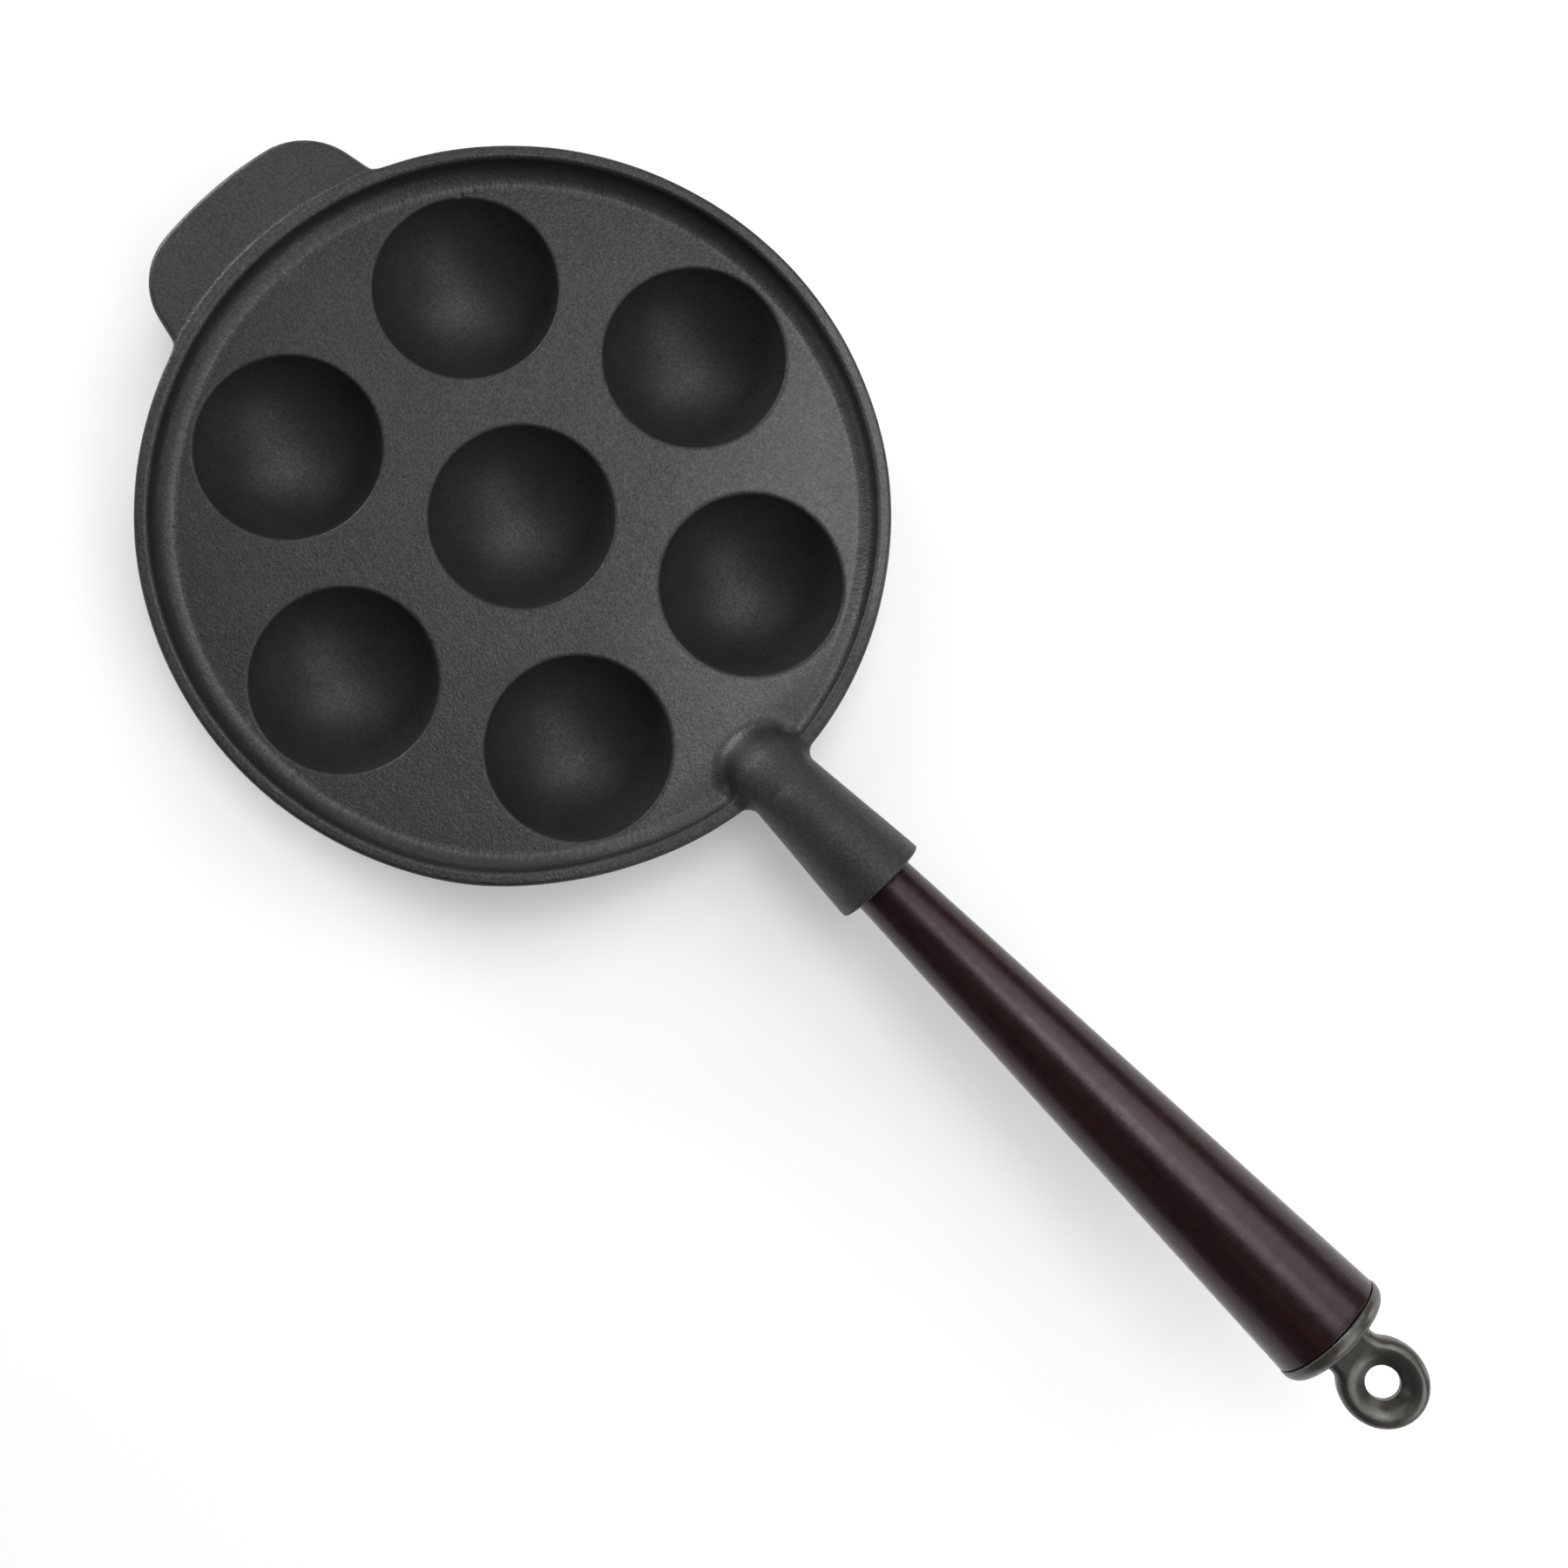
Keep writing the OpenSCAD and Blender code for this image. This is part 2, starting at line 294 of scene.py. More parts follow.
class Outline:
    """A flat outline's distance field, tabulated once and then looked up."""

    def __init__(self, points, low, high, step=0.2):
        self.low, self.step = low, step
        self.nx = int((high[0] - low[0]) / step) + 2
        self.ny = int((high[1] - low[1]) / step) + 2
        gx = low[0] + step * np.arange(self.nx)
        gy = low[1] + step * np.arange(self.ny)
        x, y = np.meshgrid(gx, gy, indexing="ij")
        self.table = polygon_distance(points, x, y)

    def __call__(self, x, y):
        """The distance at each place, between the table's four nearest values."""
        fx = np.clip((x - self.low[0]) / self.step, 0, self.nx - 1.001)
        fy = np.clip((y - self.low[1]) / self.step, 0, self.ny - 1.001)
        ix, iy = fx.astype(np.int32), fy.astype(np.int32)
        tx, ty = fx - ix, fy - iy
        t = self.table
        near = t[ix, iy] * (1 - ty) + t[ix, iy + 1] * ty
        far = t[ix + 1, iy] * (1 - ty) + t[ix + 1, iy + 1] * ty
        return near * (1 - tx) + far * tx


def handle_coordinates(x, y, z):
    """Distance along the handle's axis, and how far up and across from it."""
    dx, dz = x - AXIS_FOOT[0], z - AXIS_FOOT[2]
    return dx * ALONG[0] + dz * ALONG[2], dx * UP[0] + dz * UP[2], y + 0.0 * dx


# Pan casting

def top_outline():
    """Section below the plate's top, the hollow and the bead."""
    wall = PAN_R - 2 * BEAD_R
    inner, below = -20.0, -60.0
    points = [(inner, PLATE_Z), (inner, below), (PAN_R, below), (PAN_R, BEAD_Z)]
    crown = BEAD_Z + BEAD_R - CROWN_ROUND
    points += arc((PAN_R - CROWN_ROUND, crown), CROWN_ROUND, 0, 90, 8)
    points += arc((wall + CROWN_ROUND, crown), CROWN_ROUND, 90, 180, 8)
    edge, bend = math.radians(HOLLOW_EDGE), math.radians(HOLLOW_BEND)
    rise = HOLLOW_R * (math.cos(edge) - math.cos(bend))
    wall_middle = (wall - WALL_R, PLATE_Z + rise + WALL_R * math.cos(bend))
    lift = HOLLOW_R - WALL_R
    hollow_middle = (wall_middle[0] - lift * math.sin(bend), wall_middle[1] + lift * math.cos(bend))
    points += arc(wall_middle, WALL_R, 0, HOLLOW_BEND - 90, 10)
    points += arc(hollow_middle, HOLLOW_R, HOLLOW_BEND - 90, HOLLOW_EDGE - 90, 8)
    return points


def tab_outline():
    """The tab seen from above, with rounded corners and hollows beside the rim."""
    side = 90 - TAB_LEAN
    way = (math.cos(math.radians(side)), math.sin(math.radians(side)))
    root_x = math.sqrt(PAN_R ** 2 - TAB_HALF ** 2)
    side_d = root_x * way[0] + TAB_HALF * way[1]
    corner_m = PAN_R + TAB_REACH - TAB_CORNER_R
    corner_a = side - math.degrees(math.acos((side_d - TAB_CORNER_R) / corner_m))
    hollow_m = PAN_R - TAB_HOLLOW_SINK + TAB_HOLLOW
    hollow_a = side - math.degrees(math.acos((side_d + TAB_HOLLOW) / hollow_m))

    def at(radius, angle):
        return radius * math.cos(math.radians(angle)), radius * math.sin(math.radians(angle))

    half = arc((0, 0), PAN_R - BEAD_R, 0, hollow_a, 12)
    half += arc(at(hollow_m, hollow_a), TAB_HOLLOW, hollow_a + 180, side + 180, 10)
    half += arc(at(corner_m, corner_a), TAB_CORNER_R, side, corner_a, 24)
    half += arc((0, 0), PAN_R + TAB_REACH, corner_a, 0, 24)[1:]
    other = [(x, -y) for x, y in reversed(half[1:-1])]
    return [(-x, -y) for x, y in half + other]


def socket_outline():
    """Section of the socket's outside along the handle's axis, both sides."""
    beyond = 25.0
    flare = (MOUTH_R - ROOT_R) / (MOUTH_S - ROOT_OUT)
    half = arc((-ROOT_IN, 0), ROOT_TIP_R, 180, 90, 16)
    half += [(ROOT_OUT, ROOT_R), (MOUTH_S + beyond, MOUTH_R + beyond * flare)]
    return half + [(s, -r) for s, r in reversed(half[1:])]


def elbow_outline():
    """Section below the elbow's top, which bends down from the handle's slope to the plate."""
    beyond = 60.0
    axis_z = AXIS_Z + (ELBOW_X - PAN_R) * math.tan(TILT)
    start = np.array([ELBOW_X, axis_z + ROOT_R / math.cos(TILT)])
    middle = start + ELBOW_R * np.array([math.sin(TILT), -math.cos(TILT)])
    curve = arc(middle, ELBOW_R, 90 + math.degrees(TILT), 90 + ELBOW_LEAN, 12)
    end = curve[-1]
    foot = (end[0] - beyond, end[1] - beyond * math.tan(math.radians(ELBOW_LEAN)))
    outer = [(PAN_R + beyond, -beyond), (PAN_R + beyond, start[1] + beyond)]
    return outer + curve + [foot, (foot[0], -beyond)]


# Each outline is tabulated over the box from a low corner to a high one
TOP = Outline(top_outline(), (0.0, -8.0), (130.0, 64.0))
TAB = Outline(tab_outline(), (-125.0, -50.0), (-80.0, 50.0))
SOCKET = Outline(socket_outline(), (-30.0, 0.0), (50.0, 40.0))
ELBOW = Outline(elbow_outline(), (60.0, 15.0), (135.0, 75.0))


def well_centres():
    """Places of the middle well and the six around it."""
    ring = [math.radians(60 * i + 30) for i in range(6)]
    return [(0.0, 0.0)] + [(WELL_PITCH * math.cos(a), WELL_PITCH * math.sin(a)) for a in ring]


def sway(x, y, z):
    """Slow unevenness of a sand casting's surface."""
    broad = np.sin(x / 13.0 + 0.7) * np.sin(y / 11.0 + 1.9)
    finer = 0.6 * np.sin((x + y) / 7.3) * np.sin((x - y + z) / 8.1)
    return broad + finer


def out_of_round(turn):
    """How far the rim stands out or in at an angle about the pan."""
    total = 0.0
    for angle, amount, width in SWELLS:
        away = np.degrees(np.abs(np.angle(np.exp(1j * (turn - math.radians(angle))))))
        total = total + amount * np.exp(-(away / width) ** 2)
    return total


def ball_distance(x, y, z):
    """Distance from the middle of the nearest well's ball."""
    nearest = np.full(np.broadcast(x, y, z).shape, 1e6)
    for cx, cy in well_centres():
        reach = np.sqrt((x - cx) ** 2 + (y - cy) ** 2 + (z - BALL_Z) ** 2)
        nearest = np.minimum(nearest, reach)
    return nearest


def plate_field(x, y, z, ball):
    """The plate with its rim and hollow, and the wells' bowls under it."""
    r = np.sqrt(x * x + y * y)
    swell = out_of_round(np.arctan2(y, x)) * np.clip((r - SWELL_FROM) / SWELL_OVER, 0.0, 1.0)
    rim_r = r - swell
    cone = (rim_r - PAN_R) + RIM_DRAFT * np.clip((BEAD_Z - z) / (BEAD_Z - UNDER_Z), 0.0, 2.0)
    slab = meet_round(cone, UNDER_Z - z, RIM_ROUND)
    body = join_round(slab, ball - BALL_R - WELL_WALL, BOWL_FILLET)
    return np.maximum(body, TOP(rim_r + 0 * z, z + 0 * r))


def tab_field(x, y, z):
    """The helper tab, with rounded edges."""
    faces = np.abs(z - TAB_TOP + TAB_T / 2) - TAB_T / 2
    return meet_round(TAB(x + 0 * z, y + 0 * z), faces, TAB_ROUND)


def socket_field(x, z, s, out):
    """The socket's outside, with the elbow of its root."""
    socket = meet_round(SOCKET(s, out), x - MOUTH_X, MOUTH_ROUND)
    return meet_round(socket, ELBOW(x + 0 * z, z + 0 * x), ELBOW_EDGE)


def cut_pits(body, x, y, z):
    """Takes the casting's small pits out of a body."""
    for angle, reach, size in PITS:
        px = reach * math.cos(math.radians(angle))
        py = reach * math.sin(math.radians(angle))
        height = z - PLATE_Z - PIT_LIFT * size
        pit = size - np.sqrt((x - px) ** 2 + (y - py) ** 2 + height ** 2)
        body = meet_round(body, pit, PIT_EDGE)
    return body


def cut_bore(body, s, out):
    """Takes the handle's bore and the rod's tapped hole out of a body."""
    bore = np.maximum(out - BORE_R, BORE_S - s)
    tap = np.maximum(out - TAP_R, THREAD_S - TAP_RUNOUT - s)
    return np.maximum(meet_round(body, -bore, BORE_ROUND), -tap)


def pan_field(x, y, z):
    """Distance field of the whole casting."""
    ball = ball_distance(x, y, z)
    body = join_round(plate_field(x, y, z, ball), tab_field(x, y, z), TAB_BLEND)
    s, up, across = handle_coordinates(x, y, z)
    out = np.sqrt(up * up + across * across)
    inward = np.clip((PAN_R - np.sqrt(x * x + y * y)) / ROOT_FILLET_OVER, 0.0, 1.0)
    fillet = SOCKET_FILLET + (ROOT_FILLET - SOCKET_FILLET) * inward
    body = join_round(body, socket_field(x, z, s, out), fillet)
    body = meet_round(body, BALL_R - ball, LIP_ROUND)
    body = cut_bore(cut_pits(body, x, y, z), s, out)
    body = body + SWAY * (SWAY_SINK + sway(x, y, z))
    return meet_round(body, -z, FOOT_ROUND)


# Hanging eye

def cap_outline():
    """Section of the cap, its low cone and its boss, both sides of the axis."""
    boss_s = CAP_S - BOSS_LEN
    half = [(boss_s, 0.0), (boss_s, BOSS_R), (CAP_S, BOSS_R), (CAP_S, CAP_R - CAP_CHAMFER)]
    half += [(CAP_S + CAP_CHAMFER, CAP_R)]
    half += arc((CAP_TOP_S - CAP_ROUND, CAP_R - CAP_ROUND), CAP_ROUND, 90, 0, 12)
    half += [(CAP_TOP_S + CAP_CONE, CONE_R), (CAP_TOP_S + CAP_CONE, 0.0)]
    return half + [(s, -r) for s, r in reversed(half[1:-1])]


CAP = Outline(cap_outline(), (CAP_S - 15.0, 0.0), (CAP_S + 12.0, 22.0), 0.1)


def neck_field(s, side):
    """The neck between cap and ring, in the ring's plane."""
    hollow_side = NECK_HALF + NECK_HOLLOW
    hollow_in = math.sqrt((RING_R + NECK_HOLLOW) ** 2 - hollow_side ** 2)
    touch = RING_R / (RING_R + NECK_HOLLOW)
    from_hollow = np.sqrt((s - RING_S + hollow_in) ** 2 + (np.abs(side) - hollow_side) ** 2)
    ends = np.maximum(CAP_TOP_S - NECK_SINK - s, s - RING_S)
    sides = np.maximum(np.abs(side) - touch * hollow_side, NECK_HOLLOW - from_hollow)
    return np.maximum(sides, ends)


def eye_field(x, y, z):
    """Distance field of cap, neck and ring."""
    s, up, across = handle_coordinates(x, y, z)
    out = np.sqrt(up * up + across * across)
    height = np.abs(math.cos(EYE_CLOCK) * up - math.sin(EYE_CLOCK) * across)
    side = math.sin(EYE_CLOCK) * up + math.cos(EYE_CLOCK) * across
    from_ring = np.sqrt((s - RING_S) ** 2 + side ** 2)
    web = np.minimum(from_ring - RING_R, neck_field(s, side))
    web = meet_round(web, height - RING_HALF, RING_EDGE)
    slope = (FUNNEL_R - HOLE_R) / (RING_HALF - HOLE_LAND)
    funnel = (from_ring - HOLE_R - slope * (height - HOLE_LAND)) / math.hypot(1.0, slope)
    web = meet_round(web, -np.minimum(from_ring - HOLE_R, funnel), FUNNEL_ROUND)
    body = join_round(CAP(s, out), web, CAP_FILLET)
    tap = np.maximum(out - TAP_R, s - CAP_TOP_S + TAP_COVER)
    return np.maximum(body, -tap) + EYE_SKIN


# Turning a distance field into a mesh

CORNERS = [(i, j, k) for i in (0, 1) for j in (0, 1) for k in (0, 1)]
EDGES = [(a, b) for a in range(8) for b in range(a + 1, 8) if bin(a ^ b).count("1") == 1]


def spaced(spans):
    """Grid lines: each span is (start, stop, step), and they follow on from each other."""
    counts = [max(int(round((b - a) / step)), 1) for a, b, step in spans]
    lines = [np.linspace(a, b, n, endpoint=False) for (a, b, _), n in zip(spans, counts)]
    return np.append(np.concatenate(lines), spans[-1][1])


def sample(field, xs, ys, zs):
    """The field's values on a grid, worked out a few slabs at a time to save memory."""
    y, z = ys[None, :, None], zs[None, None, :]
    slabs = [field(xs[i:i + 8, None, None], y, z) for i in range(0, len(xs), 8)]
    return np.concatenate(slabs).astype(np.float32)


def cell_points(values, active, axes):
    """One point in each cell that the surface crosses, amid its crossings."""
    at = np.argwhere(active)
    level = [values[tuple((at + c).T)] for c in CORNERS]
    place = [np.stack([axes[d][at[:, d] + c[d]] for d in range(3)], 1) for c in CORNERS]
    total, count = np.zeros((len(at), 3)), np.zeros(len(at))
    for a, b in EDGES:
        crossed = (level[a] < 0) != (level[b] < 0)
        t = level[a] / np.where(crossed, level[a] - level[b], 1.0)
        total += np.where(crossed[:, None], place[a] + t[:, None] * (place[b] - place[a]), 0.0)
        count += crossed
    return total / count[:, None]


def cell_quads(inside, index):
    """One quad around each grid edge that the surface crosses."""
    quads = []
    for axis in range(3):
        u, v = [(1, 2), (2, 0), (0, 1)][axis]
        low = np.moveaxis(inside, axis, 0)
        crossed = np.moveaxis(low[:-1] != low[1:], 0, axis)
        at = np.argwhere(crossed)
        beside_u = (at[:, u] > 0) & (at[:, u] < index.shape[u])
        beside_v = (at[:, v] > 0) & (at[:, v] < index.shape[v])
        at = at[beside_u & beside_v]
        ring = []
        for du, dv in ((1, 1), (0, 1), (0, 0), (1, 0)):
            cell = at.copy()
            cell[:, u] -= du
            cell[:, v] -= dv
            ring.append(index[tuple(cell.T)])
        quad = np.stack(ring, 1)
        outward = inside[tuple(at.T)]
        quads.append(np.where(outward[:, None], quad, quad[:, ::-1]))
    return np.concatenate(quads)


def slopes(field, points, h=0.03):
    """The field's gradient at each point."""
    x, y, z = points.T
    return np.stack([
        field(x + h, y, z) - field(x - h, y, z),
        field(x, y + h, z) - field(x, y - h, z),
        field(x, y, z + h) - field(x, y, z - h),
    ], 1) / (2 * h)


def settle(field, points, rounds=3, reach=0.3):
    """Moves points onto the field's surface."""
    for _ in range(rounds):
        slope = slopes(field, points)
        step = field(*points.T)[:, None] * slope / np.maximum((slope ** 2).sum(1), 0.2)[:, None]
        points = points - np.clip(step, -reach, reach)
    return points


def crossed_cells(inside):
    """Which grid cells have corners on both sides of the surface."""
    nx, ny, nz = (n - 1 for n in inside.shape)
    sides = [inside[i:nx + i, j:ny + j, k:nz + k] for i, j, k in CORNERS]
    held = np.sum(sides, axis=0)
    return (held > 0) & (held < 8)


def fit_to_field(piece, field):
    """Moves a mesh's vertices onto the surface, and takes its shading from the field."""
    points = settle(field, vertex_places(piece.data) / MM)
    piece.data.vertices.foreach_set("co", (points * MM).astype(np.float32).ravel())
    normals = slopes(field, points, h=0.15)
    normals /= np.maximum(np.linalg.norm(normals, axis=1), 1e-6)[:, None]
    piece.data.normals_split_custom_set_from_vertices(normals)


def cast_mesh(name, field, spans, triangles):
    """A closed mesh of a distance field, as a new object with at most so many triangles."""
    axes = [spaced(s) for s in spans]
    values = sample(field, *axes)
    inside = values < 0
    active = crossed_cells(inside)
    index = np.full(active.shape, -1, np.int64)
    index[active] = np.arange(active.sum())
    points = settle(field, cell_points(values, active, axes))
    piece = mesh_object(name, points * MM, cell_quads(inside, index))
    thin_out(piece, triangles)
    fit_to_field(piece, field)
    return piece


def vertex_places(mesh):
    """A mesh's vertices as an array, a row each."""
    places = np.empty(3 * len(mesh.vertices), np.float32)
    mesh.vertices.foreach_get("co", places)
    return places.reshape(-1, 3).astype(float)


def thin_out(piece, triangles):
    """Joins faces where the surface is nearly flat, down to a number of triangles."""
    now = 2 * len(piece.data.polygons)
    if now <= triangles:
        return
    fewer = piece.modifiers.new("fewer", "DECIMATE")
    fewer.ratio = triangles / now
    dense = piece.data
    thinned = piece.evaluated_get(bpy.context.evaluated_depsgraph_get())
    piece.data = bpy.data.meshes.new_from_object(thinned)
    piece.modifiers.remove(fewer)
    bpy.data.meshes.remove(dense)
    piece.data.polygons.foreach_set("use_smooth", np.ones(len(piece.data.polygons), bool))


def mesh_object(name, points, quads):
    """A new object with a smooth mesh of four-sided faces."""
    mesh = bpy.data.meshes.new(name)
    mesh.vertices.add(len(points))
    mesh.vertices.foreach_set("co", np.asarray(points, np.float32).ravel())
    mesh.loops.add(quads.size)
    mesh.loops.foreach_set("vertex_index", np.asarray(quads, np.int32).ravel())
    mesh.polygons.add(len(quads))
    mesh.polygons.foreach_set("loop_start", np.arange(0, quads.size, 4, dtype=np.int32))
    mesh.update(calc_edges=True)
    mesh.validate()
    mesh.polygons.foreach_set("use_smooth", np.ones(len(mesh.polygons), bool))
    piece = bpy.data.objects.new(name, mesh)
    bpy.context.scene.collection.objects.link(piece)
    return piece


# Turned pieces

def lathe(name, s, radius, segments):
    """A closed profile turned about the handle's axis. Its radius may vary with the turn."""
    turn = np.linspace(0, 2 * math.pi, segments, endpoint=False)
    radius = np.broadcast_to(radius, (segments, len(s))) if np.ndim(radius) == 1 else radius
    around = np.cos(turn)[:, None, None] * UP + np.sin(turn)[:, None, None] * ACROSS
    points = AXIS_FOOT + s[None, :, None] * ALONG + radius[:, :, None] * around
    i, j = np.meshgrid(np.arange(segments), np.arange(len(s)), indexing="ij")
    i2, j2 = (i + 1) % segments, (j + 1) % len(s)
    n = len(s)
    quads = np.stack([i * n + j, i * n + j2, i2 * n + j2, i2 * n + j], -1).reshape(-1, 4)
    return mesh_object(name, points.reshape(-1, 3) * MM, quads)


def along_profile(corners, step):
    """Profile points every step millimetres or so between the corners, around a closed profile."""
    s, r = [], []
    for (s0, r0), (s1, r1) in zip(corners, corners[1:] + corners[:1]):
        n = max(int(math.hypot(s1 - s0, r1 - r0) / step), 1)
        t = np.arange(n) / n
        s.append(s0 + (s1 - s0) * t)
        r.append(r0 + (r1 - r0) * t)
    return np.concatenate(s), np.concatenate(r)


def wooden_handle():
    """The turned handle, from its end in the socket to the cap, with the rod's hole through it."""
    start = BORE_S + SEAT
    counterbore = CAP_S - BOSS_LEN - 2 * SEAT
    boss_hole = BOSS_R + BOSS_PLAY
    corners = [(start, ROD_HOLE_R), (start, THIN_R - END_ROUND)]
    corners += arc((start + END_ROUND, THIN_R - END_ROUND), END_ROUND, 180, 90, 4)[1:]
    corners += [(MOUTH_S + NECK_LEN, THIN_R)]
    corners += arc((GRIP_END_S - END_ROUND, THICK_R - END_ROUND), END_ROUND, 90, 0, 6)
    corners += [(GRIP_END_S, boss_hole), (counterbore, boss_hole), (counterbore, ROD_HOLE_R)]
    s, r = along_profile(corners, step=1.5)
    return lathe("turned_handle", s, r, segments=144)


def tie_rod():
    """The rod, with its thread cut at both ends."""
    end = CAP_TOP_S - ROD_SHORT
    fine, coarse = THREAD_PITCH / 8, 4.0
    tail_end, head_start = THREAD_S + THREAD_LEN, CAP_S - BOSS_LEN
    s = np.concatenate([
        np.arange(THREAD_S, tail_end, fine),
        np.arange(tail_end, head_start, coarse),
        np.arange(head_start, end, fine),
        [end],
    ])
    segments = 48
    turn = np.linspace(0, 1, segments, endpoint=False)
    wave = np.abs(((s[None, :] / THREAD_PITCH - turn[:, None]) % 1.0) * 2 - 1)
    threaded = (s < tail_end - fine) | (s > head_start)
    run_in = np.clip((s - THREAD_S) / THREAD_RUN_IN, 0, 1) * np.clip(end - s, 0, 1)
    cut = THREAD_DEPTH * np.where(threaded, wave, 0.0)
    radius = ROD_R - np.maximum(cut, (1 - run_in)[None, :] * THREAD_DEPTH)
    s = np.concatenate([[s[0]], s, [s[-1]]])
    tip = np.full((segments, 1), ROD_END_R)
    radius = np.concatenate([tip, radius, tip], 1)
    return lathe("threaded_rod", s, radius, segments)


# Materials

class Surface:
    """A material whose nodes are added by short calls. Places on the piece are in millimetres."""

    def __init__(self, name, tilt=0.0):
        self.material = bpy.data.materials.new(name)
        self.material.use_nodes = True
        self.tree = self.material.node_tree
        self.shader = self.tree.nodes["Principled BSDF"]
        coords = self.tree.nodes.new("ShaderNodeTexCoord").outputs["Object"]
        turn = (0.0, tilt, 0.0)
        placing = {"Vector": coords, "Rotation": turn, "Scale": (1 / MM,) * 3}
        self.at = self.node("ShaderNodeMapping", placing)

    def feed(self, socket, value):
        """Links a node's output to an input, or sets the input to a constant."""
        if isinstance(value, bpy.types.NodeSocket):
            self.tree.links.new(value, socket)
        else:
            socket.default_value = value

    def node(self, kind, inputs, output=0, **settings):
        """Adds a node, feeds its inputs, and gives one of its outputs."""
        node = self.tree.nodes.new(kind)
        for name, value in settings.items():
            setattr(node, name, value)
        for name, value in inputs.items():
            self.feed(node.inputs[name], value)
        return node.outputs[output]

    def set(self, **inputs):
        """Feeds the shader's own inputs."""
        for name, value in inputs.items():
            self.feed(self.shader.inputs[name.replace("_", " ")], value)

    def coordinate(self, axis):
        """One of the three coordinates on the piece."""
        return self.node("ShaderNodeSeparateXYZ", {"Vector": self.at}, axis)

    def noise(self, place, scale, detail=2.0, roughness=0.5):
        """Cloudy noise around a half, with so many patches a millimetre."""
        inputs = {"Vector": place, "Scale": scale, "Detail": detail, "Roughness": roughness}
        return self.node("ShaderNodeTexNoise", inputs)

    def math(self, operation, a, b=0.0):
        """Two values put together, such as their sum."""
        return self.node("ShaderNodeMath", {0: a, 1: b}, operation=operation)

    def times(self, vector, factors):
        """A place stretched or squeezed along its axes."""
        return self.node("ShaderNodeVectorMath", {0: vector, 1: factors}, operation="MULTIPLY")

    def remap(self, value, low, high, to_low, to_high):
        """Carries the range low to high over to another one, and holds its ends beyond them."""
        inputs = {"Value": value, "From Min": low, "From Max": high}
        return self.node("ShaderNodeMapRange", inputs | {"To Min": to_low, "To Max": to_high})

    def ramp(self, factor, stops):
        """A colour ramp through (place, colour) stops."""
        node = self.tree.nodes.new("ShaderNodeValToRGB")
        elements = node.color_ramp.elements
        while len(elements) < len(stops):
            elements.new(0.5)
        for element, (place, colour) in zip(elements, stops):
            element.position = place
            element.color = (*colour, 1.0)
        self.feed(node.inputs["Fac"], factor)
        return node.outputs["Color"]

    def mix(self, factor, first, second):
        """Between a colour link and a fixed colour."""
        inputs = {0: factor, 6: first, 7: (*second, 1.0)}
        return self.node("ShaderNodeMix", inputs, 2, data_type="RGBA")

    def bump(self, height, distance, strength=1.0, normal=None):
        """Raises the surface by a height between 0 and 1, times a distance in millimetres."""
        inputs = {"Height": height, "Distance": distance * MM, "Strength": strength}
        if normal is not None:
            inputs["Normal"] = normal
        return self.node("ShaderNodeBump", inputs)


def away_from_wells(iron, low, high):
    """0 inside the wells and 1 outside them."""
    nearest = None
    for cx, cy in well_centres():
        centre = {0: iron.at, 1: (cx, cy, BALL_Z)}
        reach = iron.node("ShaderNodeVectorMath", centre, "Value", operation="DISTANCE")
        nearest = reach if nearest is None else iron.math("MINIMUM", nearest, reach)
    return iron.remap(nearest, low, high, 0.0, 1.0)


def rim_marks(iron):
    """Fine radial marks where the plate turns up into the rim, and where they show."""
    flat = iron.times(iron.at, (1.0, 1.0, 0.0))
    around = iron.node("ShaderNodeVectorMath", {0: flat}, operation="NORMALIZE")
    around = iron.times(around, (PAN_R,) * 3)
    slow = iron.times(iron.at, (0.15, 0.15, 0.15))
    place = iron.node("ShaderNodeVectorMath", {0: around, 1: slow}, operation="ADD")
    radius = iron.node("ShaderNodeVectorMath", {0: flat}, "Value", operation="LENGTH")
    start = iron.remap(radius, *MARKS_FROM, 0.0, 1.0)
    stop = iron.remap(radius, *MARKS_UP_TO, 1.0, 0.0)
    low = iron.remap(iron.coordinate("Z"), *MARKS_TOP, 1.0, 0.0)
    shown = iron.math("MULTIPLY", iron.math("MULTIPLY", start, stop), low)
    return iron.noise(place, 0.8, 2.0, 0.6), shown


def oiled_side(iron):
    """Extra gloss where the plate near the handle has kept more oil."""
    inputs = {0: iron.at, 1: OILED_TOWARDS}
    reach = iron.node("ShaderNodeVectorMath", inputs, "Value", operation="DOT_PRODUCT")
    inside = iron.remap(iron.coordinate("X"), *OILED_UP_TO, 1.0, 0.0)
    return iron.math("MULTIPLY", iron.remap(reach, *OILED_FROM, 0.0, OILED), inside)


def skin_gloss(iron, plate):
    """Gloss of the cast skin, patchy, and stronger on the plate's oiled side."""
    gloss = iron.remap(iron.noise(iron.at, 1.2, 3.0, 0.7), 0.36, 0.64, *IRON_GLOSS)
    return iron.math("ADD", gloss, iron.math("MULTIPLY", oiled_side(iron), plate))


def skin_roughness(iron, plate):
    """Roughness of the cast skin, patchy, with more of it in the wells and on the socket."""
    rough = iron.remap(iron.noise(iron.at, 0.5, 4.0, 0.65), 0.3, 0.7, *IRON_ROUGH)
    wells = iron.remap(plate, 0.0, 1.0, WELL_ROUGH, 0.0)
    socket = iron.remap(iron.coordinate("X"), *SOCKET_FROM, 0.0, SOCKET_ROUGH)
    return iron.math("ADD", iron.math("ADD", rough, wells), socket)


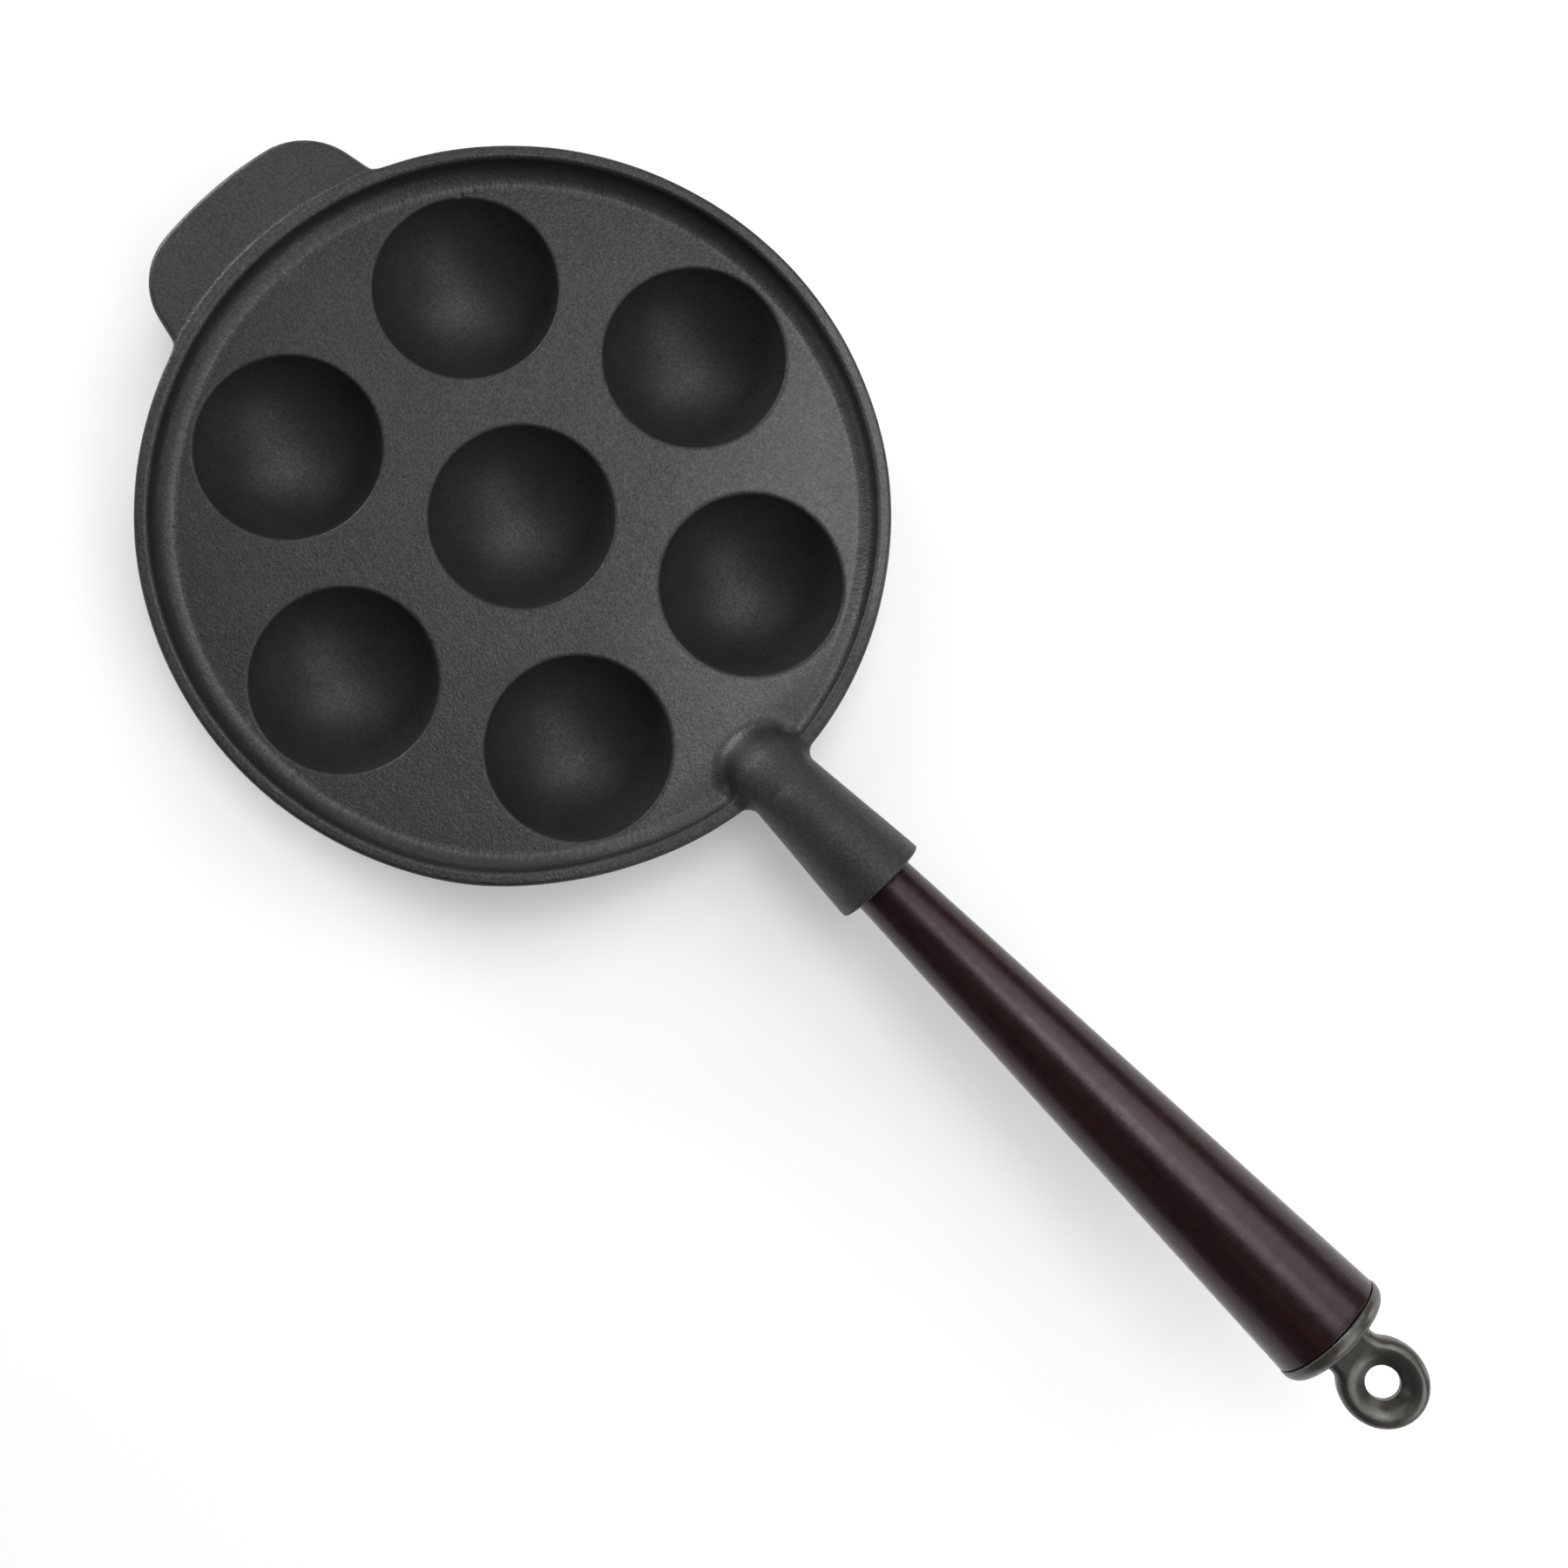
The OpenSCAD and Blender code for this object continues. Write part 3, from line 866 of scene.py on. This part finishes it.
def skin_relief(iron, plate):
    """Grain, flakes and peel of the cast skin, weaker in the wells."""
    strength = iron.remap(plate, 0.0, 1.0, WELL_GRAIN, 1.0)
    flakes = iron.remap(iron.noise(iron.at, 1.3, 3.0, 0.6), 0.36, 0.64, 0.0, 1.0)
    normal = iron.bump(iron.noise(iron.at, 2.6, 3.0, 0.6), GRAIN, strength)
    normal = iron.bump(flakes, FLAKES, strength, normal)
    return iron.bump(iron.noise(iron.at, 0.3, 2.0), PEEL, strength, normal)


def seasoned_iron():
    """Sand-cast iron, blackened: a fine flaky grain, smooth wells and slow patches of tone."""
    iron = Surface("seasoned_iron")
    patches = iron.noise(iron.at, 0.07, 4.0, 0.6)
    specks = iron.noise(iron.at, 0.8, 3.0, 0.7)
    tone = iron.math("ADD", iron.math("MULTIPLY", patches, 0.6), iron.math("MULTIPLY", specks, 0.4))
    black = iron.ramp(tone, [(0.3, IRON_DARK), (0.7, IRON_LIGHT)])
    marks, shown = rim_marks(iron)
    # The hollow's band is lightened: partly wear on the radial marks, partly a painted highlight
    # standing in for the light the hollow catches
    worn = iron.math("MULTIPLY", shown, iron.remap(marks, 0.35, 0.65, 0.2, 1.0))
    plate = away_from_wells(iron, *WELL_EDGE)
    iron.set(Base_Color=iron.mix(worn, black, IRON_WORN_AND_HIGHLIGHT))
    # The middle value stays for an export that drops the link made after it
    iron.set(Specular_IOR_Level=sum(IRON_GLOSS) / 2)
    iron.set(Specular_IOR_Level=skin_gloss(iron, plate))
    iron.set(Roughness=skin_roughness(iron, plate))
    iron.set(Normal=iron.bump(marks, RIM_MARKS, shown, skin_relief(iron, plate)))
    return iron.material


def satin_iron():
    """The eye's smoother iron, with a warmer tone and small dents."""
    iron = Surface("satin_iron")
    patches = iron.noise(iron.at, 0.15, 4.0, 0.6)
    iron.set(Base_Color=iron.ramp(patches, [(0.3, EYE_DARK), (0.7, EYE_LIGHT)]))
    iron.set(Specular_IOR_Level=EYE_GLOSS, Specular_Tint=(*EYE_SHEEN, 1.0))
    iron.set(Roughness=iron.remap(iron.noise(iron.at, 0.4, 3.0), 0.3, 0.7, *EYE_ROUGH))
    normal = iron.bump(iron.noise(iron.at, 1.2, 3.0, 0.6), EYE_GRAIN)
    iron.set(Normal=iron.bump(iron.noise(iron.at, 0.3, 2.0), EYE_DENTS, 1.0, normal))
    return iron.material


def lacquered_wood():
    """Dark red-brown stained wood with long pores, under a worn clear lacquer."""
    wood = Surface("lacquered_wood", TILT)
    figure = wood.noise(wood.times(wood.at, (0.03, 1.0, 1.0)), 0.5, 4.0, 0.6)
    pores = wood.noise(wood.times(wood.at, (0.06, 1.0, 1.0)), 2.4, 2.0)
    tone = wood.math("ADD", wood.math("MULTIPLY", figure, 0.65), wood.math("MULTIPLY", pores, 0.35))
    stain = wood.ramp(tone, [(0.34, WOOD_DARK), (0.5, WOOD_MIDDLE), (0.66, WOOD_LIGHT)])
    wood.set(Base_Color=stain)
    wood.set(Roughness=wood.remap(wood.noise(wood.at, 0.35, 3.0), 0.3, 0.7, *WOOD_ROUGH))
    wood.set(Specular_IOR_Level=WOOD_GLOSS, Specular_Tint=(*WOOD_SHEEN, 1.0))
    normal = wood.bump(pores, WOOD_PORES)
    wood.set(Normal=wood.bump(wood.noise(wood.at, 0.28, 2.0), LACQUER_PEEL, 1.0, normal))
    return wood.material


def turned_steel():
    """Bright steel with fine turning marks around the rod."""
    steel = Surface("turned_steel", TILT)
    marks = steel.noise(steel.times(steel.at, (6.0, 0.3, 0.3)), 1.0, 2.0)
    steel.set(Base_Color=steel.ramp(marks, [(0.3, STEEL_DARK), (0.7, STEEL_LIGHT)]))
    steel.set(Roughness=steel.remap(marks, 0.3, 0.7, *STEEL_ROUGH), Metallic=1.0)
    steel.set(Normal=steel.bump(marks, STEEL_MARKS))
    return steel.material


def pale_floor():
    """Matt and pale, and brighter far away, so that it ends in the white backdrop."""
    floor = Surface("pale_floor")
    away = floor.node("ShaderNodeVectorMath", {0: floor.at}, "Value", operation="LENGTH")
    floor.set(Base_Color=(*FLOOR, 1.0), Roughness=FLOOR_ROUGH)
    floor.set(Emission_Color=(1.0, 1.0, 1.0, 1.0))
    floor.set(Emission_Strength=floor.remap(away, *FLOOR_GLOW_REACH, FLOOR_GLOW, 1.0))
    return floor.material


# Studio

def add_camera():
    """The camera at the photograph's viewing angle."""
    data = bpy.data.cameras.new("camera")
    data.lens = CAMERA_LENS
    data.sensor_width = 36.0
    data.clip_start = 0.01
    camera = bpy.data.objects.new("camera", data)
    back = CAMERA_RIGHT.cross(CAMERA_UP).normalized()
    right = CAMERA_RIGHT.normalized()
    up = back.cross(right)
    turn = Matrix((right, up, back)).transposed()
    camera.matrix_world = Matrix.Translation(CAMERA_AT) @ turn.to_4x4()
    bpy.context.scene.collection.objects.link(camera)
    bpy.context.scene.camera = camera


def add_softbox(name, azimuth, elevation, size, watts):
    """A round soft light, aimed at the object from a given direction."""
    data = bpy.data.lights.new(name, "AREA")
    data.shape = "DISK"
    data.size = size
    data.energy = watts
    lamp = bpy.data.objects.new(name, data)
    lamp.visible_camera = False
    a, e = math.radians(azimuth), math.radians(elevation)
    way = Vector((math.cos(e) * math.cos(a), math.cos(e) * math.sin(a), math.sin(e)))
    lamp.location = LIGHTS_AIM + LIGHTS_AWAY * way
    lamp.rotation_mode = "QUATERNION"
    lamp.rotation_quaternion = (-way).to_track_quat("-Z", "Y")
    bpy.context.scene.collection.objects.link(lamp)


def add_world():
    """A white backdrop for the camera, and a dimmer even light on the object."""
    world = bpy.data.worlds.new("studio")
    world.use_nodes = True
    nodes, links = world.node_tree.nodes, world.node_tree.links
    seen = nodes.new("ShaderNodeLightPath").outputs["Is Camera Ray"]
    strength = nodes.new("ShaderNodeMapRange")
    strength.inputs["To Min"].default_value = AMBIENT
    strength.inputs["To Max"].default_value = 1.0
    links.new(seen, strength.inputs["Value"])
    links.new(strength.outputs["Result"], nodes["Background"].inputs["Strength"])
    nodes["Background"].inputs["Color"].default_value = (1.0, 1.0, 1.0, 1.0)
    bpy.context.scene.world = world


def add_floor():
    """A flat square floor under the pan's feet."""
    half = FLOOR_HALF
    corners = np.array([(-half, -half, 0), (half, -half, 0), (half, half, 0), (-half, half, 0)])
    floor = mesh_object("floor", corners, np.array([[0, 1, 2, 3]]))
    floor.data.materials.append(pale_floor())


def light_studio():
    """The backdrop and all the soft lights."""
    bpy.context.scene.view_settings.view_transform = "Standard"
    add_world()
    for name, azimuth, elevation, size, watts in SOFTBOXES:
        add_softbox(name, azimuth, elevation, size, watts)


# Putting it together

def finish_piece(piece, material, body, node):
    """Gives a piece its material, and says what it rides on and stands in for."""
    piece.data.materials.append(material)
    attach(piece, body)
    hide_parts(node)


def build_pan():
    """The casting, on a grid that holds all of it and is finer above the bowls."""
    step = 0.8
    spans = [
        [(-121.0, 140.0, step)],
        [(-103.0, 103.0, step)],
        [(-1.5, 20.0, step), (20.0, 57.0, 0.75 * step)],
    ]
    body = cast_mesh("pan_body", pan_field, spans, triangles=190_000)
    finish_piece(body, seasoned_iron(), "pan", "pan_casting")


def build_eye():
    """The cap with its neck and ring."""
    middle = AXIS_FOOT + ALONG * RING_S
    inner = AXIS_FOOT + ALONG * (CAP_S - BOSS_LEN)
    step = 0.35
    spans = [
        [(inner[0] - 3.0, middle[0] + 14.0, step)],
        [(-17.0, 17.0, step)],
        [(inner[2] - 18.0, middle[2] + 15.0, step)],
    ]
    eye = cast_mesh("eye_and_cap", eye_field, spans, triangles=90_000)
    finish_piece(eye, satin_iron(), "eye", "hanging_eye")


add_camera()
light_studio()
add_floor()
build_pan()
build_eye()
finish_piece(wooden_handle(), lacquered_wood(), "handle", "wooden_handle")
finish_piece(tie_rod(), turned_steel(), "eye", "tie_rod")
